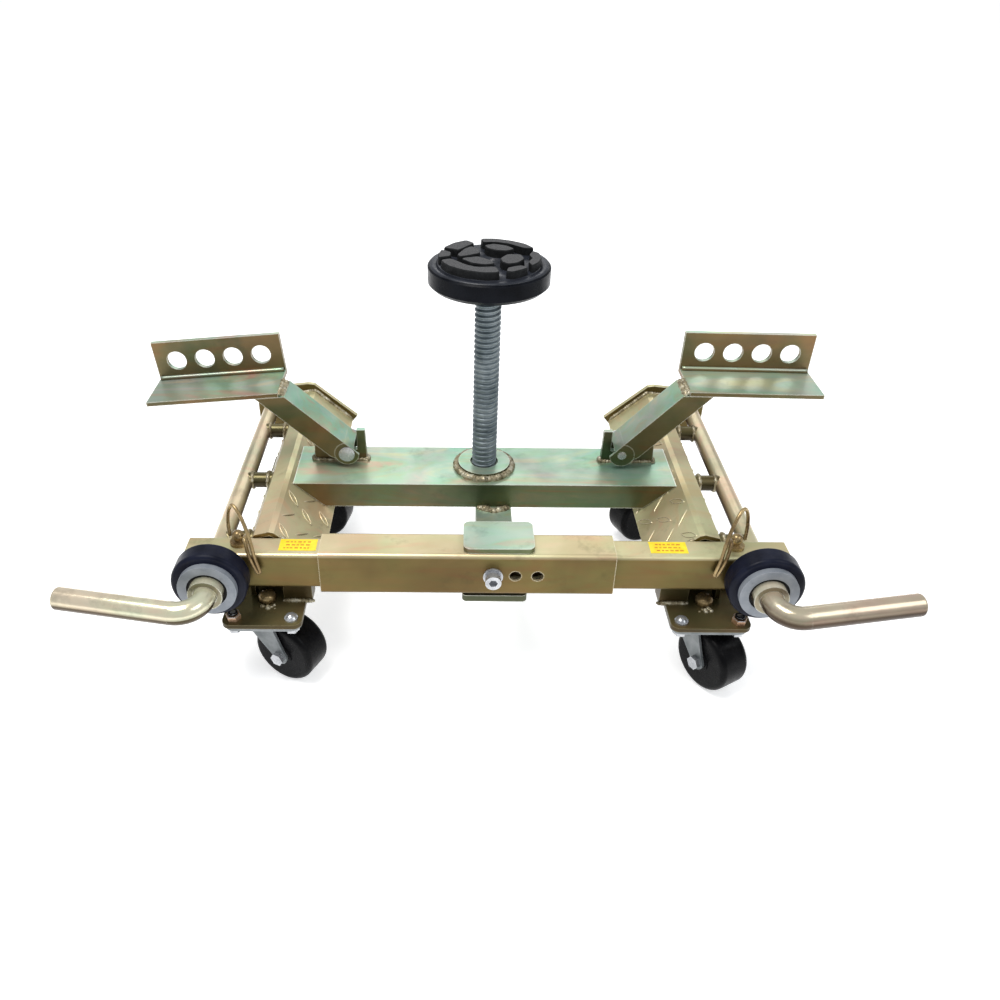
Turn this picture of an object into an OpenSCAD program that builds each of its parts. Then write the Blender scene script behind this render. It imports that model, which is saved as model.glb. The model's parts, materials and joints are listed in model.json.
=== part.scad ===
// Wheel dolly: two caster-borne cradles joined by a telescopic crossbar, two travel wheels with
// swing handles on its ends, and a loose jack beam that carries a screw pad and two support arms.
// Everything is drawn about the crossbar's axis, and place() moves it so that the floor is z = 0.

/* [Crossbar] */
// Height of the crossbar's axis above the floor
bar_height = 137; // [137:1:150]
// Height of the outer sleeve
sleeve_h = 50; // [50:0.5:52]
// Depth of the outer sleeve
sleeve_d = 40; // [40:0.5:42]
// Wall of the outer sleeve
sleeve_wall = 3.5; // [3:0.1:3.5]
// Left end of the sleeve, from the middle
sleeve_left = 169.5; // [160:0.5:170]
// Right end of the sleeve, from the middle
sleeve_right = 129; // [110:1:140]
// Height of the inner tubes
tube_h = 42; // [40:0.5:42]
// Depth of the inner tubes
tube_d = 31; // [29:0.5:31]
// Wall of the inner tubes
tube_wall = 3; // [2.5:0.1:3]
// Half length of the closed crossbar
half_span = 305; // [303:0.5:308]
// Place of the adjuster bolt
adjuster_x = 6; // [4:0.5:8]
// Distance between the adjuster holes
adjuster_pitch = 22.5; // [20:0.5:24]
// Travel of the sliding half
slide_travel = 45; // [20:1:45]

/* [Travel wheels and handles] */
// Distance of the travel wheels' axis from the middle
travel_x = 275.5; // [274:0.5:277]
// Height of the travel wheels' axis above the crossbar's axis
travel_z = 3; // [1:0.5:4]
// Diameter of the travel tyre
travel_tyre_d = 75; // [70:1:76]
// Diameter of the travel rim
travel_rim_d = 58; // [54:1:60]
// Diameter of the black bush
travel_bush_d = 40; // [38:1:42]
// Diameter of the boss that the travel wheel turns on
boss_d = 34; // [32:0.5:35]
// Diameter of the handle bar
handle_d = 23; // [20:0.5:24]
// Bend radius of the handle, at its centre line
handle_bend = 22; // [18:1:24]
// Angle that the handle is bent through
handle_turn = 100; // [90:1:105]
// Distance of the handle's tip from the middle
handle_tip_x = 419; // [400:1:430]

/* [Cradles] */
// Height of the cradle's crest above the crossbar's axis
crest_z = 26.5; // [25:0.5:27]
// Distance of the cradle's inner lower edge from the middle
cradle_in_x = 172; // [171:0.5:174]
// Thickness of the checker plate
cradle_t = 5; // [4:0.5:5]
// Diameter of the side rods
rod_d = 19.5; // [18:0.5:20]
// Distance of the side rods from the middle
rod_x = 277.8; // [276:0.2:280]
// Rear face of the end plates, behind the crossbar's axis
rear_y = 338; // [330:1:340]

/* [Casters] */
// Distance of the swivel axes from the middle
swivel_x = 230; // [229:0.5:231]
// Front swivel axis, behind the crossbar's axis
front_swivel_y = -2; // [-4:0.5:0]
// Rear swivel axis, behind the crossbar's axis
rear_swivel_y = 250; // [244:1:256]
// Radius of the caster wheels
caster_r = 35.5; // [34:0.1:35.5]
// Width of the caster wheels
caster_w = 36; // [32:0.5:36]
// Distance of the caster's axle behind its swivel axis
trail = 25; // [20:1:26]
// Side of the square mount plates
mount_plate_w = 82; // [80:1:84]

/* [Jack beam] */
// Front face of the beam
beam_front_y = 113.5; // [110:0.5:116]
// Depth of the beam
beam_d = 81; // [78:0.5:82]
// Top of the beam above the crossbar's axis
beam_top_z = 22.3; // [22:0.1:22.5]
// Height of the beam
beam_h = 30.5; // [28:0.5:30.5]
// Diameter of the lifting screw
screw_d = 28; // [24:1:28]
// Diameter of the lifting pad
pad_d = 125; // [110:1:130]
// Top of the pad's rim above the crossbar's axis
pad_rim_z = 262.5; // [240:0.5:270]

/* [Support arms] */
// Rise of the left arm above horizontal
left_arm_angle = 43; // [20:1:60]
// Rise of the right arm above horizontal
right_arm_angle = 47; // [20:0.5:60]
// Distance of the arm pins from the middle
arm_pin_x = 157; // [156.5:0.5:158]
// Height of the arm pins above the crossbar's axis
arm_pin_z = 40.5; // [40:0.5:41.5]
// Length of the arm's upper face from its pin
arm_len = 96.5; // [90:0.5:105]
// Angle between the arm and the shelf of its angle iron
shelf_bend = 48; // [44:1:52]
// Length of the angle irons
angle_len = 147; // [136:1:150]
// Diameter of the holes in the angle irons
angle_hole_d = 22; // [16:0.5:22]
// Distance between those holes
angle_hole_pitch = 32.5; // [28:0.5:33]

/* [Hidden] */
$fn = 64;
eps = 0.01;
fit = 0.06;
gap = 0.3;
front_reach = handle_d / 2 + handle_bend + 61;
mid_y = (rear_y - front_reach) / 2;
tube_front = -tube_d / 2;
tube_back = tube_d / 2;
tube_bottom = -tube_h / 2;
sleeve_front = -sleeve_d / 2;
right_tube_start = -65;
left_tube_end = -75;
weld_gap = 0.5;
cradle_front_y = tube_back + weld_gap;
end_plate_t = 6;
cradle_rear_y = rear_y - end_plate_t;
mount_top_z = -48;
mount_t = 5;
caster_plate_t = 4;
caster_top_z = mount_top_z - mount_t - caster_plate_t;
floor_z = -bar_height;
axle_z = floor_z + caster_r;
fork_gap = 39;
fork_t = 3;
axle_r = 4;
kingpin_r = 6;
bolt_r = 4;
bolt_dx = 29.5;
bolt_dy = 30;
wheel_back_y = -20.5;
rim_front_y = -50;
boss_front_y = -58;
shank_front_y = -61;
lock_x = 252.5;
lock_y = 4;
lock_r = 4;
knob_z = 31;
bail_wire_r = 1.6;
beam_back_y = beam_front_y + beam_d;
beam_mid_y = beam_front_y + beam_d / 2;
beam_bottom_z = beam_top_z - beam_h;
beam_wall = 3;
beam_top_x = 215;
beam_bottom_x = 180.5;
screw_bottom_z = -10;
nut_flange_z = beam_top_z + 7;
arm_w = 40;
arm_h = 24.5;
arm_wall = 2.5;
arm_front_y = beam_mid_y - 6;
arm_back_y = arm_front_y + arm_w;
arm_pin_r = 4.5;
// Seen along its pin, the arm's faces lie this far above the pin
arm_top = 9;
arm_low = arm_top - arm_h;
// The arm's upper wall starts here, its lower wall there
arm_tip = -2;
arm_open = 46;
ear_r = 14;
bracket_t = 6;
bracket_y = arm_front_y + (arm_w - bracket_t) / 2;
bracket_in_x = 137;
bracket_out_x = 197;
pin_head_r = 9;
shelf_d = 63;
shelf_t = 5;
flange_h = 50;
shelf_start = 6.5;

// Outline of the checker plate's upper face, as distance from the middle and height
cradle_path = [
    [cradle_in_x, -17],
    [219, crest_z - 1.5],
    [224.5, crest_z],
    [240, crest_z - 4],
    [246.5, 9],
    [255, -10]
];
// Headings of the casters' trails at rest, in degrees from +X
caster_heading = [[-27, -60], [-12, -155]];

// ---- helpers ----

// Moves a drawing from the crossbar's axis to the part's own frame
module place() translate([0, -mid_y, bar_height]) children();

// Draws a right-hand piece on side s: 1 is right, -1 is left
module on_side(s) {
    place()
        if (s < 0)
            mirror([1, 0, 0]) children();
        else
            children();
}

// Extrudes an X-Z outline from y0 to y1
module along_y(y0, y1) translate([0, y1, 0]) rotate([90, 0, 0]) linear_extrude(y1 - y0) children();

// A rod along Y
module rod_y(y0, y1, r) translate([0, y0, 0]) rotate([-90, 0, 0]) cylinder(h = y1 - y0, r = r);

module rounded_rect(w, h, r) {
    square([w, h - 2 * r], center = true);
    square([w - 2 * r, h], center = true);
    for (x = [-1, 1], y = [-1, 1])
        translate([x * (w / 2 - r), y * (h / 2 - r)]) circle(r);
}

// A rectangular tube along X
module tube_x(x0, x1, depth, height, wall, r)
    translate([x0, 0, 0]) rotate([90, 0, 90]) linear_extrude(x1 - x0)
        difference() {
            rounded_rect(depth, height, r);
            rounded_rect(depth - 2 * wall, height - 2 * wall, r / 3);
        }

module box(lo, hi) translate(lo) cube(hi - lo);

module hexagon(flats, h) cylinder(h = h, r = flats / sqrt(3), $fn = 6);

// A spherical cap of foot radius r and height h, standing on z = 0
module dome(r, h) {
    big = (r * r + h * h) / (2 * h);
    intersection() {
        translate([0, 0, h - big]) sphere(big);
        cylinder(h = h + 1, r = r + 1);
    }
}

// Unit normal of a step of a path, pointing to its right
function step_normal(a, b) = let (d = (b - a) / norm(b - a)) [d[1], -d[0]];

// A path moved sideways by t, with mitred corners
function moved_path(p, t) = [
    for (i = [0 : len(p) - 1])
        let (
            n1 = i == 0 ? step_normal(p[0], p[1]) : step_normal(p[i - 1], p[i]),
            n2 = i == len(p) - 1 ? n1 : step_normal(p[i], p[i + 1])
        )
        p[i] + t * (n1 + n2) / (1 + n1 * n2)
];

function backwards(p) = [for (i = [len(p) - 1 : -1 : 0]) p[i]];

// ---- crossbar ----

module sleeve_tube() color("khaki") place()
    difference() {
        tube_x(-sleeve_left, sleeve_right, sleeve_d, sleeve_h, sleeve_wall, 5);
        for (i = [0 : 2])
            translate([adjuster_x + i * adjuster_pitch, 0, 0])
                rod_y(sleeve_front - 1, 0, i == 0 ? 5.5 : 6);
    }

module adjuster_bolt() color("silver") place() translate([adjuster_x, 0, 0])
    difference() {
        union() {
            rod_y(sleeve_front - 12, sleeve_front - 2, 8);
            rod_y(sleeve_front - 2 - eps, tube_front + tube_wall + 8, 5);
        }
        translate([0, sleeve_front - 7, 0]) rotate([90, 0, 0]) hexagon(8, 6);
    }

module adjuster_washer() color("silver") place() translate([adjuster_x, 0, 0])
    difference() {
        rod_y(sleeve_front - 2, sleeve_front, 10);
        rod_y(sleeve_front - 3, sleeve_front + 1, 5.2);
    }

// The wheel handle's hole in the front wall and the lock pin's hole down through the tube
module inner_tube_holes() {
    translate([travel_x, 0, travel_z]) rod_y(tube_front - 1, 0, handle_d / 2 + fit);
    translate([lock_x, lock_y, -tube_h]) cylinder(h = 2 * tube_h, r = lock_r + fit);
}

module left_inner_tube() color("khaki") on_side(-1)
    difference() {
        tube_x(-left_tube_end, half_span, tube_d, tube_h, tube_wall, 4);
        inner_tube_holes();
    }

module right_inner_tube() color("khaki") on_side(1)
    difference() {
        tube_x(right_tube_start, half_span, tube_d, tube_h, tube_wall, 4);
        inner_tube_holes();
        for (x = [adjuster_x - slide_travel, adjuster_x + 2 * adjuster_pitch])
            translate([x, 0, 0]) rod_y(tube_front - 1, 0, 6);
        box([adjuster_x - slide_travel, tube_front - 1, -6],
            [adjuster_x + 2 * adjuster_pitch, 0, 6]);
    }

// ---- cradles ----

module cradle_plate(s) color("darkkhaki") on_side(s)
    along_y(cradle_front_y, cradle_rear_y)
        polygon(concat(cradle_path, backwards(moved_path(cradle_path, cradle_t))));

// Everything above the underside of the checker plate
module above_cradle() {
    under = moved_path(cradle_path, cradle_t);
    last = under[len(under) - 1];
    polygon(concat(under, [[300, last[1]], [300, 80], [140, 80], [140, under[0][1]]]));
}

// A web across the cradle, from a mount plate up to the checker plate
module cradle_web(y)
    along_y(y, y + 6)
        difference() {
            translate([210, mount_top_z]) square([36, 80]);
            above_cradle();
        }

module risers(s) color("olive") on_side(s) {
    difference() {
        box([182, -4, mount_top_z], [212, tube_back, tube_bottom]);
        box([186, 0, mount_top_z - 1], [208, tube_back - 4, tube_bottom + 1]);
    }
    box([243, 4, mount_top_z], [248, tube_back, tube_bottom]);
    cradle_web(24);
    cradle_web(rear_swivel_y - 20);
    cradle_web(rear_swivel_y + 22);
}

module side_rod(s) color("khaki") on_side(s)
    translate([rod_x, 0, travel_z]) rod_y(tube_back, cradle_rear_y, rod_d / 2);

module rod_lugs(s) color("khaki") on_side(s)
    for (y = [35, 150, 265])
        difference() {
            translate([235, y, travel_z]) rotate([0, 90, 0]) cylinder(h = rod_x - 235, r = 9);
            translate([rod_x, 0, travel_z]) rod_y(y - 20, y + 20, rod_d / 2);
            along_y(y - 20, y + 20)
                polygon(concat(cradle_path, [[150, -10], [150, -17]]));
        }

module end_plate(s) color("olive") on_side(s)
    along_y(cradle_rear_y, rear_y)
        polygon([
            [297, -20], [297, 24], [292, 28], [228, crest_z + 9], [220, crest_z + 8],
            [cradle_in_x - 6, -12], [cradle_in_x + 6, -26], [290, -26]
        ]);

// ---- caster mounts ----

module swivels(s) for (y = [front_swivel_y, rear_swivel_y]) translate([swivel_x, y, 0]) children();

module bolt_places()
    for (x = [-1, 1], y = [-1, 1]) translate([x * bolt_dx, y * bolt_dy, 0]) children();

module square_plate(w, corner, z0, t, hole_r)
    translate([0, 0, z0])
        difference() {
            linear_extrude(t) rounded_rect(w, w, corner);
            translate([0, 0, -1]) cylinder(h = t + 2, r = kingpin_r + fit);
            bolt_places() translate([0, 0, -1]) cylinder(h = t + 2, r = hole_r);
        }

module mount_plates(s) color("darkkhaki") on_side(s)
    swivels(s) square_plate(mount_plate_w, 9, mount_top_z - mount_t, mount_t, bolt_r + 0.3);

module caster_plates(s) color("silver") on_side(s)
    swivels(s) square_plate(mount_plate_w - 2, 12, caster_top_z, caster_plate_t, bolt_r + 0.3);

// A bolt through both plates, with a dome head or a lock nut on top and a nut below
module mount_bolt(nut_on_top) {
    translate([0, 0, caster_top_z - 7]) cylinder(h = mount_top_z - caster_top_z + 9, r = bolt_r);
    translate([0, 0, caster_top_z - 6]) hexagon(13, 6);
    translate([0, 0, mount_top_z])
        if (nut_on_top) {
            hexagon(13, 6);
            cylinder(h = 8.5, r = 5);
        } else {
            cylinder(h = 2, r = 7);
            translate([0, 0, 2 - eps]) dome(7, 4);
        }
}

// The swivel pin: a dome on the mount plate, a shank, and a riveted end under the fork
module kingpin() {
    translate([0, 0, caster_top_z - 11]) cylinder(h = mount_top_z - caster_top_z + 12, r = kingpin_r);
    translate([0, 0, caster_top_z - 11.3]) cylinder(h = 2.9, r = 9);
    translate([0, 0, mount_top_z]) cylinder(h = 4, r = 9);
    translate([0, 0, mount_top_z + 4 - eps]) dome(9, 6);
}

module mount_bolts(s) color("silver") on_side(s)
    swivels(s) {
        for (x = [-1, 1], y = [-1, 1])
            translate([x * bolt_dx, y * bolt_dy, 0]) mount_bolt(x > 0);
        kingpin();
    }

// ---- travel wheels, handles and lock pins ----

module at_travel(s) on_side(s) translate([travel_x, 0, travel_z]) children();

module wheel_boss(s) color("gold") at_travel(s)
    difference() {
        rod_y(boss_front_y, tube_front, boss_d / 2);
        rod_y(boss_front_y - 1, tube_front + 1, handle_d / 2 + fit);
    }

// A ring about the Y axis with rounded shoulders of radius c
module ring_y(y0, y1, r_in, r_out, c)
    translate([0, y0, 0]) rotate([-90, 0, 0])
        rotate_extrude()
            difference() {
                union() {
                    translate([r_in, 0]) square([r_out - r_in - c, y1 - y0]);
                    translate([r_in, c]) square([r_out - r_in, y1 - y0 - 2 * c]);
                    for (y = [c, y1 - y0 - c]) translate([r_out - c, y]) circle(c);
                }
            }

module travel_tyre(s) color("midnightblue") at_travel(s)
    ring_y(rim_front_y + 6.5, wheel_back_y, travel_rim_d / 2, travel_tyre_d / 2, 4);

module travel_rim(s) color("lightgray") at_travel(s)
    difference() {
        rod_y(rim_front_y, wheel_back_y, travel_rim_d / 2);
        rod_y(rim_front_y - 1, wheel_back_y + 1, travel_bush_d / 2);
    }

module travel_bush(s) color("black") at_travel(s)
    difference() {
        rod_y(rim_front_y + 1.5, wheel_back_y, travel_bush_d / 2);
        rod_y(rim_front_y - 1, wheel_back_y + 1, boss_d / 2 + fit);
    }

// The bend is a hair thinner than the straight parts, so that each end of it starts inside one
module swing_handle(s) color("gold") at_travel(s) {
    r = handle_d / 2;
    tip_round = 3;
    lead = 0.4;
    straight = (handle_tip_x - travel_x - handle_bend * (1 - cos(handle_turn))) / sin(handle_turn);
    rod_y(shank_front_y - lead, tube_back - tube_wall - 1, r);
    translate([0, tube_front + tube_wall + 0.5, 0]) rod_y(0, 4, r + 2.5);
    translate([handle_bend, shank_front_y, 0]) {
        rotate([0, 0, 180]) rotate_extrude(angle = handle_turn)
            translate([handle_bend, 0]) circle(r - 0.1);
        rotate([0, 0, handle_turn]) translate([-handle_bend, 0, 0])
            rotate([90, 0, 0]) rotate_extrude()
                union() {
                    translate([0, -lead]) square([r, straight + lead - tip_round]);
                    translate([0, -lead]) square([r - tip_round, straight + lead]);
                    translate([r - tip_round, straight - tip_round]) circle(tip_round);
                }
    }
}

module lock_pin(s) color("gold") on_side(s) translate([lock_x, lock_y, 0]) {
    translate([0, 0, tube_bottom - 8]) cylinder(h = knob_z + 8 - tube_bottom, r = lock_r);
    translate([0, 0, tube_h / 2 + gap]) cylinder(h = 3, r = 9);
    translate([0, 0, knob_z]) sphere(6);
}

// The spring bail: from one side of the knob over its crest, down the tube's front and back
bail_path = [
    [260.6, 4, knob_z], [261, 6, 46], [258, 5, 62], [252, 1, 70], [244, -7, 63], [237, -14, 45],
    [232.5, -19.5, 22], [228, -20, 3], [232.5, -20, 3], [237.5, -19.5, 22], [242, -11, 37],
    [244.4, 4, knob_z]
];

module bail(s) color("gold") on_side(s) {
    for (i = [1 : len(bail_path) - 1]) {
        a = bail_path[i - 1];
        d = bail_path[i] - a;
        translate(a)
            rotate([0, acos(d[2] / norm(d)), atan2(d[1], d[0])])
                cylinder(h = norm(d), r = bail_wire_r, $fn = 24);
        translate(a) sphere(bail_wire_r + 0.15, $fn = 24);
    }
    translate(bail_path[len(bail_path) - 1]) sphere(bail_wire_r + 0.15, $fn = 24);
}

// ---- casters ----

// Moves a drawing from a swivel axis, trail along +X, to caster [row][col]; row 1 is the rear
module at_caster(row, col) place()
    translate([(col == 0 ? -1 : 1) * swivel_x, row == 0 ? front_swivel_y : rear_swivel_y, 0])
        rotate([0, 0, caster_heading[row][col]]) children();

module fork(row, col) color("lightslategray") at_caster(row, col)
    difference() {
        union() {
            translate([0, 0, caster_top_z - 4]) cylinder(h = 4 - 2 * gap, r = 22);
            translate([0, 0, caster_top_z - 8]) linear_extrude(4 + eps) rounded_rect(40, fork_gap + 2 * fork_t, 3);
            for (y = [-1, 1]) {
                y0 = y > 0 ? fork_gap / 2 : -fork_gap / 2 - fork_t;
                along_y(y0, y0 + fork_t) {
                    polygon([
                        [-20, caster_top_z - 8], [20, caster_top_z - 8],
                        [trail + 9, axle_z], [trail - 9, axle_z]
                    ]);
                    translate([trail, axle_z]) circle(9);
                }
            }
        }
        translate([0, 0, caster_top_z - 10]) cylinder(h = 12, r = kingpin_r + fit);
        translate([trail, 0, axle_z]) rod_y(-30, 30, axle_r + fit);
    }

module axle_bolt(row, col) color("silver") at_caster(row, col) translate([trail, 0, axle_z]) {
    half = fork_gap / 2 + fork_t;
    rod_y(-half - 1, half + 8, axle_r);
    translate([0, -half, 0]) rotate([90, 0, 0]) hexagon(13, 5.5);
    translate([0, half + 6.5, 0]) rotate([90, 0, 0]) hexagon(13, 6.5);
}

module caster_wheel(row, col) color("black") at_caster(row, col) translate([trail, 0, axle_z])
    difference() {
        union() {
            ring_y(-caster_w / 2, caster_w / 2, 12, caster_r, 6);
            rod_y(-fork_gap / 2 + gap, fork_gap / 2 - gap, 12);
        }
        rod_y(-30, 30, axle_r + fit);
    }

// ---- jack beam ----

module beam_outline(inset) polygon([
    [-beam_top_x + inset, beam_top_z - min(inset, beam_wall)],
    [beam_top_x - inset, beam_top_z - min(inset, beam_wall)],
    [beam_bottom_x - inset, beam_bottom_z + min(inset, beam_wall)],
    [-beam_bottom_x + inset, beam_bottom_z + min(inset, beam_wall)]
]);

module at_screw() place() translate([0, beam_mid_y, 0]) children();

module crossbeam() color("darkseagreen") place()
    difference() {
        along_y(beam_front_y, beam_back_y) beam_outline(0);
        along_y(beam_front_y + beam_wall, beam_back_y - beam_wall) beam_outline(6);
        translate([0, beam_mid_y, 0]) cylinder(h = 60, r = 22.1);
        translate([0, beam_mid_y, -30]) cylinder(h = 60, r = screw_d / 2 + 1);
    }

module flange_nut() color("palegoldenrod") at_screw()
    difference() {
        union() {
            translate([0, 0, beam_bottom_z + beam_wall]) cylinder(h = beam_h - beam_wall, r = 22);
            translate([0, 0, beam_top_z]) cylinder(h = nut_flange_z - beam_top_z, r = 29.5);
        }
        translate([0, 0, beam_bottom_z - 1]) cylinder(h = 60, r = screw_d / 2 + fit);
        translate([0, 0, nut_flange_z - 4]) cylinder(h = 10, r = screw_d / 2 + 2);
    }

module connecting_bar() color("darkseagreen") place()
    difference() {
        box([-9.5, 29, beam_bottom_z - 25], [30.5, 130, beam_bottom_z]);
        box([-7, 28, beam_bottom_z - 22.5], [28, 131, beam_bottom_z - 2.5]);
    }

// Upper plate, web and lower plate of the clamp that hooks over the sleeve from behind
module clamp_jaws() color("darkseagreen") place() {
    translate([11.75, 7.5, sleeve_h / 2 + gap]) linear_extrude(6) rounded_rect(71.5, 47, 7);
    box([-20, sleeve_d / 2 + 1, -29], [40, 29, sleeve_h / 2 + gap]);
    translate([8.5, 6.5, -37]) linear_extrude(8) rounded_rect(67, 45, 5);
}

// An upright plate for each arm; its tall inner corner stops the arm when it stands upright
module arm_brackets() color("darkolivegreen")
    for (s = [-1, 1]) on_side(s)
        difference() {
            along_y(bracket_y, bracket_y + bracket_t) {
                polygon([
                    [bracket_in_x - 1, beam_top_z], [bracket_out_x, beam_top_z],
                    [bracket_out_x - 1, arm_pin_z + 3.5], [arm_pin_x, arm_pin_z + 3.5],
                    [arm_pin_x - 6, arm_pin_z - 4], [bracket_in_x + 10, arm_pin_z - 4],
                    [bracket_in_x + 10, 62], [bracket_in_x, 62]
                ]);
                translate([arm_pin_x, arm_pin_z]) circle(arm_top - arm_wall - 0.3);
            }
            translate([arm_pin_x, 0, arm_pin_z]) rod_y(100, 200, arm_pin_r + fit);
        }

// Both pins have a head at the back; the left one also has a wide head at the front
module arm_pins() color("silver") place()
    for (s = [-1, 1]) translate([s * arm_pin_x, 0, arm_pin_z]) {
        rod_y(arm_front_y - 0.6, arm_back_y + 2.8, arm_pin_r);
        rod_y(arm_back_y + 0.2, arm_back_y + 3.2, pin_head_r);
        if (s < 0) rod_y(arm_front_y - 1.8, arm_front_y - 0.2, pin_head_r);
    }

// ---- support arms ----

// Moves an X-Z outline, drawn from the pin along +X, up to the arm's angle
module at_arm(angle) translate([arm_pin_x, arm_pin_z]) rotate(angle) children();

// A tube whose side walls run on as rounded ears past the pin, on both sides of the bracket plate
module arm(s, angle) color("darkseagreen") on_side(s) {
    cut = arm_h / tan(shelf_bend);
    difference() {
        along_y(arm_front_y, arm_back_y)
            at_arm(angle) {
                intersection() {
                    circle(ear_r);
                    translate([-ear_r - 1, -ear_r - 1]) square([2 * ear_r + 2, ear_r + 1 + arm_top]);
                }
                polygon([
                    [arm_tip, arm_top], [arm_len, arm_top], [arm_len + cut, arm_low], [12, arm_low],
                    [4, -ear_r + 0.6]
                ]);
            }
        along_y(arm_front_y + arm_wall, arm_back_y - arm_wall)
            at_arm(angle)
                polygon([
                    [-20, arm_top + 1], [arm_tip, arm_top + 1], [arm_tip, arm_top - arm_wall],
                    [arm_len - 1.1, arm_top - arm_wall], [arm_len + cut - 5.6, arm_low + arm_wall],
                    [arm_open, arm_low + arm_wall], [arm_open, arm_low - 1], [-20, arm_low - 1]
                ]);
        translate([arm_pin_x, 0, arm_pin_z]) rod_y(100, 200, arm_pin_r + fit);
    }
}

// Frame of an angle iron: X along its shelf from its inner end, Y to the rear, Z up from the arm
module at_shelf(s, angle) on_side(s)
    translate([arm_pin_x, arm_front_y, arm_pin_z]) rotate([0, -angle, 0])
        translate([arm_len, 0, arm_top]) rotate([0, shelf_bend, 0])
            translate([shelf_start, 0, 0]) children();

module angle_iron(s, angle) color("darkseagreen") at_shelf(s, angle)
    difference() {
        union() {
            box([0, 0, 0], [angle_len, shelf_d, shelf_t]);
            box([0, shelf_d - shelf_t, 0], [angle_len, shelf_d, flange_h]);
        }
        for (i = [0 : 3])
            translate([angle_len / 2 + (i - 1.5) * angle_hole_pitch, 0, shelf_t + 21.5])
                rod_y(shelf_d - shelf_t - 1, shelf_d + 1, angle_hole_d / 2);
    }

// ---- screw and pad ----

module lift_screw() color("lightsteelblue") at_screw()
    translate([0, 0, screw_bottom_z]) cylinder(h = pad_rim_z - 13 - screw_bottom_z, r = screw_d / 2);

module pad_cup() color("black") at_screw() translate([0, 0, pad_rim_z])
    rotate_extrude()
        polygon([
            [0, -6], [pad_d / 2 - 8, -6], [pad_d / 2 - 6, 0], [pad_d / 2 - 1.5, 0],
            [pad_d / 2, -1.5], [pad_d / 2, -17], [pad_d / 2 - 4, -21], [24, -23], [20, -30],
            [screw_d / 2 + fit, -30], [screw_d / 2 + fit, -12.5], [0, -12.5]
        ]);

module pad_rubber() color("dimgray") at_screw() translate([0, 0, pad_rim_z - 6 + eps])
    difference() {
        cylinder(h = 16, r = pad_d / 2 - 9);
        translate([-3, -pad_d / 2, 8]) cube([6, pad_d, 10]);
    }

// ---- sides ----

module left_cradle_plate() cradle_plate(-1);
module right_cradle_plate() cradle_plate(1);
module left_risers() risers(-1);
module right_risers() risers(1);
module left_side_rod() side_rod(-1);
module right_side_rod() side_rod(1);
module left_rod_lugs() rod_lugs(-1);
module right_rod_lugs() rod_lugs(1);
module left_end_plate() end_plate(-1);
module right_end_plate() end_plate(1);
module left_mount_plates() mount_plates(-1);
module right_mount_plates() mount_plates(1);
module left_caster_plates() caster_plates(-1);
module right_caster_plates() caster_plates(1);
module left_mount_bolts() mount_bolts(-1);
module right_mount_bolts() mount_bolts(1);
module left_wheel_boss() wheel_boss(-1);
module right_wheel_boss() wheel_boss(1);
module left_travel_tyre() travel_tyre(-1);
module right_travel_tyre() travel_tyre(1);
module left_travel_rim() travel_rim(-1);
module right_travel_rim() travel_rim(1);
module left_travel_bush() travel_bush(-1);
module right_travel_bush() travel_bush(1);
module left_handle() swing_handle(-1);
module right_handle() swing_handle(1);
module left_lock_pin() lock_pin(-1);
module right_lock_pin() lock_pin(1);
module left_bail() bail(-1);
module right_bail() bail(1);
module front_left_fork() fork(0, 0);
module front_right_fork() fork(0, 1);
module rear_left_fork() fork(1, 0);
module rear_right_fork() fork(1, 1);
module front_left_caster_wheel() caster_wheel(0, 0);
module front_right_caster_wheel() caster_wheel(0, 1);
module rear_left_caster_wheel() caster_wheel(1, 0);
module rear_right_caster_wheel() caster_wheel(1, 1);
module front_left_axle_bolt() axle_bolt(0, 0);
module front_right_axle_bolt() axle_bolt(0, 1);
module rear_left_axle_bolt() axle_bolt(1, 0);
module rear_right_axle_bolt() axle_bolt(1, 1);
module left_arm() arm(-1, left_arm_angle);
module right_arm() arm(1, right_arm_angle);
module left_angle_iron() angle_iron(-1, left_arm_angle);
module right_angle_iron() angle_iron(1, right_arm_angle);

sleeve_tube();
adjuster_bolt();
adjuster_washer();
left_inner_tube();
left_cradle_plate();
left_risers();
left_side_rod();
left_rod_lugs();
left_end_plate();
left_mount_plates();
left_caster_plates();
left_mount_bolts();
left_wheel_boss();
right_inner_tube();
right_cradle_plate();
right_risers();
right_side_rod();
right_rod_lugs();
right_end_plate();
right_mount_plates();
right_caster_plates();
right_mount_bolts();
right_wheel_boss();
left_travel_tyre();
left_travel_rim();
left_travel_bush();
right_travel_tyre();
right_travel_rim();
right_travel_bush();
left_handle();
right_handle();
left_lock_pin();
right_lock_pin();
left_bail();
right_bail();
front_left_fork();
front_right_fork();
rear_left_fork();
rear_right_fork();
front_left_caster_wheel();
front_right_caster_wheel();
rear_left_caster_wheel();
rear_right_caster_wheel();
front_left_axle_bolt();
front_right_axle_bolt();
rear_left_axle_bolt();
rear_right_axle_bolt();
crossbeam();
flange_nut();
connecting_bar();
clamp_jaws();
arm_brackets();
arm_pins();
left_arm();
right_arm();
left_angle_iron();
right_angle_iron();
lift_screw();
pad_cup();
pad_rubber();
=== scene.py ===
"""Wheel dolly: the looks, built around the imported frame. Metres, z = 0 on the floor."""
import json
import math
import random

import bpy
from mathutils import Matrix, Vector


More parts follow.
